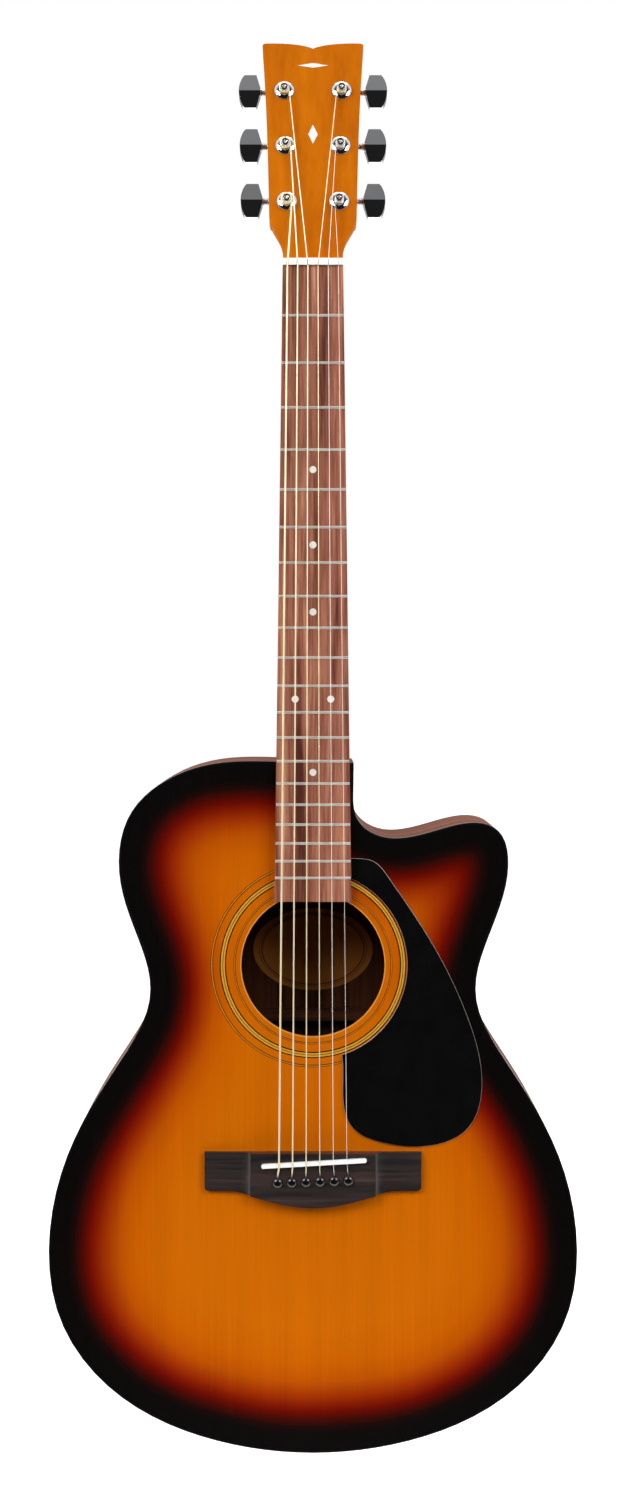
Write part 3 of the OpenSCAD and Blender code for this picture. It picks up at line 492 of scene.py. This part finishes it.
# ---- Turns of string on each post ----
# All in millimetres; heights are along the post from the face of the headstock
STRING_D = [1.35, 1.07, 0.81, 0.61, 0.41, 0.3]
WOUND = 4
POST_R = 3.0
POST_GAP = 0.03
TURN_GAP = 0.04
HOLE_HEIGHT = 5.7
ARRIVAL_HEIGHT = 3.2
FEWEST_TURNS, MOST_TURNS = 1.75, 3.75
STEPS_PER_TURN = 24
CUT_END = (2.2, 0.0, -2.5, -4.6)


def string_turns(k, material):
    """Turns of string round the post, from where it arrives up to the post's hole and through it."""
    r = STRING_D[k - 1] / 2
    out = POST_R + r + POST_GAP
    bass_side = k <= 3
    direction = -1 if bass_side else 1
    start_angle = 0 if bass_side else math.pi
    rise = HOLE_HEIGHT - ARRIVAL_HEIGHT
    room_for = math.floor(rise / (2 * r + TURN_GAP)) - 0.25
    turns = max(FEWEST_TURNS, min(MOST_TURNS, room_for))
    steps = int(turns * STEPS_PER_TURN)
    points = []
    for i in range(steps + 1):
        share = i / steps
        angle = direction * 2 * math.pi * turns * share + start_angle
        height = ARRIVAL_HEIGHT + rise * share ** 0.85
        sideways = ACROSS * (out * math.cos(angle)) + head_up * (out * math.sin(angle))
        points.append(post_places[k] + (head_normal * height + sideways) * MM)
    # Through the hole, which runs along the headstock, and out by a short cut end
    sign = math.copysign(1, (points[-1] - post_places[k]).dot(head_up))
    for reach in CUT_END:
        points.append(post_places[k] + (head_normal * HOLE_HEIGHT + head_up * (sign * reach)) * MM)
    bm = bmesh.new()
    tube(bm, points, r * MM, sides=10)
    new_piece(f"string_turns_{k}", bm, material, f"string_post_{k}")


# ---- Plain lozenge inlays on the headstock ----
# Each one's height above the middle tuners, half width and half height, in millimetres
INLAYS = [(9, 3.4, 7.5), (64, 11.0, 1.9)]
INLAY_LIFT = 0.06 * MM


def head_inlays(material):
    """Thin lozenges on the centre line of the headstock's face."""
    centre = sum(post_places.values(), Vector()) / len(post_places)
    bm = bmesh.new()
    for up, half_w, half_h in INLAYS:
        spot = Vector((0, centre.y, centre.z)) + head_up * up * MM
        corners = [(half_w, 0), (0, half_h), (-half_w, 0), (0, -half_h)]
        places = [spot + (Vector((x, 0, 0)) + head_up * rise) * MM for x, rise in corners]
        top = [bm.verts.new(place + head_normal * INLAY_LIFT) for place in places]
        bottom = [bm.verts.new(place - head_normal * INLAY_LIFT) for place in places]
        bm.faces.new(top)
        bm.faces.new(bottom)
        for i in range(len(corners)):
            j = (i + 1) % len(corners)
            bm.faces.new((top[i], top[j], bottom[j], bottom[i]))
    bmesh.ops.recalc_face_normals(bm, faces=bm.faces)
    new_piece("head_inlays", bm, material, ROOT)


# ---- Stage: floor, light and camera ----
FLOOR_DROP = 0.16
# Half width, front edge and back edge, in metres
FLOOR_EXTENT = (9.0, -0.3, 16.0)
# Brightness of the surroundings, from behind the camera (0) to behind the guitar (1)
WORLD_RAMP = [(0.0, 0.012), (0.08, 0.015), (0.16, 0.07), (0.25, 0.3),
              (0.4, 1.0), (0.6, 0.9), (1.0, 0.3)]


def floor():
    """Pale floor below and behind the object, lit to near white."""
    half, front, back = FLOOR_EXTENT
    low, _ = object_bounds()
    bm = bmesh.new()
    corners = [(-half, front), (half, front), (half, back), (-half, back)]
    bm.faces.new([bm.verts.new((x, y, low.z - FLOOR_DROP)) for x, y in corners])
    mesh = bpy.data.meshes.new("floor")
    bm.to_mesh(mesh)
    bm.free()
    s = Shader("floor_paper", Roughness=0.9, Specular_IOR_Level=0.0, Emission_Strength=0.6)
    s.set("Base Color", s.ramp(s.noise((3, 3, 3), detail=2), [(0.3, "f6f5f4"), (0.7, "fbfaf9")]))
    s.bsdf.inputs["Emission Color"].default_value = rgb("ffffff")
    mesh.materials.append(s.material)
    plane = bpy.data.objects.new("floor", mesh)
    bpy.context.scene.collection.objects.link(plane)
    plane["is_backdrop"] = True


def world_light():
    """White to the camera; as light, dark round the camera, white from the sides, dim from behind."""
    world = bpy.data.worlds.new("studio")
    world.use_nodes = True
    tree = world.node_tree
    tree.nodes.clear()
    new, link = tree.nodes.new, tree.links.new
    place = new("ShaderNodeTexCoord")
    parts = new("ShaderNodeSeparateXYZ")
    backward = new("ShaderNodeMapRange")
    backward.inputs["From Min"].default_value = -1
    ramp = new("ShaderNodeValToRGB")
    stops = ramp.color_ramp.elements
    while len(stops) < len(WORLD_RAMP):
        stops.new(0.5)
    for stop, (position, value) in zip(stops, WORLD_RAMP):
        stop.position = position
        stop.color = (value, value, value, 1)
    glow = new("ShaderNodeBackground")
    seen = new("ShaderNodeBackground")
    seen.inputs["Color"].default_value = (1, 1, 1, 1)
    path = new("ShaderNodeLightPath")
    blend = new("ShaderNodeMixShader")
    out = new("ShaderNodeOutputWorld")
    link(place.outputs["Generated"], parts.inputs[0])
    link(parts.outputs["Y"], backward.inputs["Value"])
    link(backward.outputs[0], ramp.inputs[0])
    link(ramp.outputs[0], glow.inputs["Color"])
    link(path.outputs["Is Camera Ray"], blend.inputs[0])
    link(glow.outputs[0], blend.inputs[1])
    link(seen.outputs[0], blend.inputs[2])
    link(blend.outputs[0], out.inputs[0])
    bpy.context.scene.world = world


def area_light(name, place, aim, size, power):
    data = bpy.data.lights.new(name, "AREA")
    data.shape = "RECTANGLE"
    data.size, data.size_y = size
    data.energy = power
    light = bpy.data.objects.new(name, data)
    light.location = place
    light.rotation_mode = "QUATERNION"
    light.rotation_quaternion = (Vector(aim) - Vector(place)).to_track_quat("-Z", "Y")
    bpy.context.scene.collection.objects.link(light)


def lights():
    aim = (0, 0, -0.4)
    area_light("key", (-1.6, -2.0, 1.0), aim, (1.6, 1.4), 62)
    area_light("fill", (1.7, -1.9, 0.8), aim, (1.4, 1.4), 46)
    area_light("overhead", (0, 0.5, 2.4), aim, (2.2, 1.2), 24)
    area_light("behind_left", (-1.6, 1.6, 1.2), aim, (1.2, 1.2), 14)
    area_light("behind_right", (1.6, 1.6, 1.2), aim, (1.2, 1.2), 14)


CAMERA_PLACE = (0, board_low.y - 1.6, -0.294)
CAMERA_LENS = 54.18
CAMERA_SHIFT = (0.0017, -0.0467)


def camera():
    """Square on to the front, a little above the body's upper end."""
    data = bpy.data.cameras.new("camera")
    data.sensor_width = 36
    data.lens = CAMERA_LENS
    data.shift_x, data.shift_y = CAMERA_SHIFT
    cam = bpy.data.objects.new("camera", data)
    cam.location = CAMERA_PLACE
    cam.rotation_euler = (math.radians(90), 0, 0)
    bpy.context.scene.collection.objects.link(cam)
    bpy.context.scene.camera = cam


# ---- Dressing ----
# Wood colours along the grain's streaks, from the darkest to the palest
MAHOGANY = [(0.0, "4e2a1c"), (0.5, "70402e"), (1.0, "8c5a44")]
# Dark stain of the back; on the back braces the same colours are painted shade, pale spruce made dark
# as it looks in the shade inside the body
DARK_STAIN_AND_PAINTED_SHADE = [(0.0, "34160a"), (0.5, "4c2713"), (1.0, "663c24")]
AMBER = [(0.0, "a85400"), (0.5, "b76000"), (1.0, "c26a02")]
ROSEWOOD = [(0.0, "53291f"), (0.3, "804a39"), (0.6, "a06550"), (0.85, "b87f60"), (1.0, "c49078")]
DARK_ROSEWOOD = [(0.0, "1a1514"), (0.5, "292120"), (0.8, "3c2d2a"), (1.0, "4c3a36")]
RAW = [(0.0, "b08a5c"), (1.0, "d6b78a")]
# Axes along which the grain is fine, on a board lying across the body and on a bent rib
CROSS_GRAIN = (0, 1, 1)
RIB_GRAIN = (0, 1, 0)


def dress_body():
    burst_soundboard()
    back = wood("back_wood", DARK_STAIN_AND_PAINTED_SHADE, 70, gloss=0.45, specular=0.15, bookmatched=True)
    ribs = wood("rib_wood", MAHOGANY, 90, RIB_GRAIN, gloss=0.5, specular=0.12)
    bridge = wood("bridge_wood", DARK_ROSEWOOD, 110, CROSS_GRAIN, pores=0.7,
                  gloss=0.28, specular=0.6)
    # The pickguard's pale edge colour is a painted highlight on its bevel
    guard = plastic("pickguard_plastic", "070707", 0.1, painted_edge_highlight="b4aca2")
    dress(["back"], back)
    dress(["bass_rib", "treble_rib"], ribs)
    dress(["linings", "neck_block", "tail_block"], wood("lining_wood", RAW, 90))
    dress(["top_braces"], wood("brace_wood", RAW, 120), 0.8 * MM)
    # Painted shade: the back braces are raw spruce but take the dark colours to stand for the shade
    # inside the body
    dress(["back_braces"], wood("back_brace_painted_shade", DARK_STAIN_AND_PAINTED_SHADE, 120, CROSS_GRAIN), 0.8 * MM)
    dress(["bridge_plate"], wood("plate_wood", ROSEWOOD, 110, CROSS_GRAIN))
    dress(["bridge"], bridge, 0.4 * MM)
    dress(["rosette"], rosette_rings())
    dress(["pickguard"], guard, 0.4 * MM, segments=3)
    dress(["bindings", "heel_cap"], plastic("binding_plastic", "0a0909", 0.14), 0.4 * MM)
    dress(["label"], label_paper())
    dress(numbered("bridge_pin"), plastic("pin_plastic", "0b0a0a", 0.1), 0.15 * MM)


def dress_neck(steel, brass, nacre):
    neck = wood("neck_wood", AMBER, 45, pores=0.3, gloss=0.4, coat=0.05, contrast=0.6, specular=0.05)
    board = wood("fingerboard_wood", ROSEWOOD, 130, pores=0.6, gloss=0.42, specular=0.15)
    dress(["neck"], neck, degrees=40)
    dress(["fingerboard"], board, 0.5 * MM)
    dress(["saddle", "nut"], plastic("bone", "faf8f0", 0.3), 0.35 * MM)
    dress(["position_dots"], nacre)
    dress(["frets"], metal("fret_nickel", "e4e1d8", 0.28, metallic=0.8), 0.1 * MM)
    dress(["truss_rod"], steel)
    dress(["truss_rod_nut"], brass, 0.3 * MM)


def dress_tuners_and_strings(steel, brass):
    chrome = metal("tuner_chrome", "e6e7ea", 0.045, tone=0.05)
    satin = metal("satin_chrome", "8c8e92", 0.24)
    wire = metal("plain_steel", "fffaf0", 0.35, STEEL_BRUSH, metallic=0.25)
    bronze = wound_wire("wound_bronze", "fdf2cc", 0.42 * MM)
    dress(["tuner_housings", "tuner_covers"], satin, 0.5 * MM, segments=3)
    dress(["tuner_bushings"], chrome, 0.2 * MM)
    dress(["tuner_screws"], steel, 0.2 * MM)
    dress(numbered("knob"), chrome, 0.9 * MM, segments=4, degrees=12)
    dress(numbered("worm"), steel, 0.15 * MM, limit=60)
    dress(numbered("post"), chrome, 0.15 * MM)
    dress(numbered("gear"), brass, 0.1 * MM)
    dress(["wound_strings"], bronze, degrees=60)
    dress(["plain_strings"], wire, degrees=60)
    for k in STRINGS:
        string_turns(k, bronze if k <= WOUND else wire)


def dress_all():
    steel = metal("rod_steel", "c9c9cc", 0.2, STEEL_BRUSH)
    brass = metal("gear_brass", "cda15a", 0.22)
    nacre = pearl()
    dress_body()
    dress_neck(steel, brass, nacre)
    dress_tuners_and_strings(steel, brass)
    head_inlays(nacre)


dress_all()
floor()
world_light()
lights()
camera()
bpy.context.scene.view_settings.view_transform = "Standard"
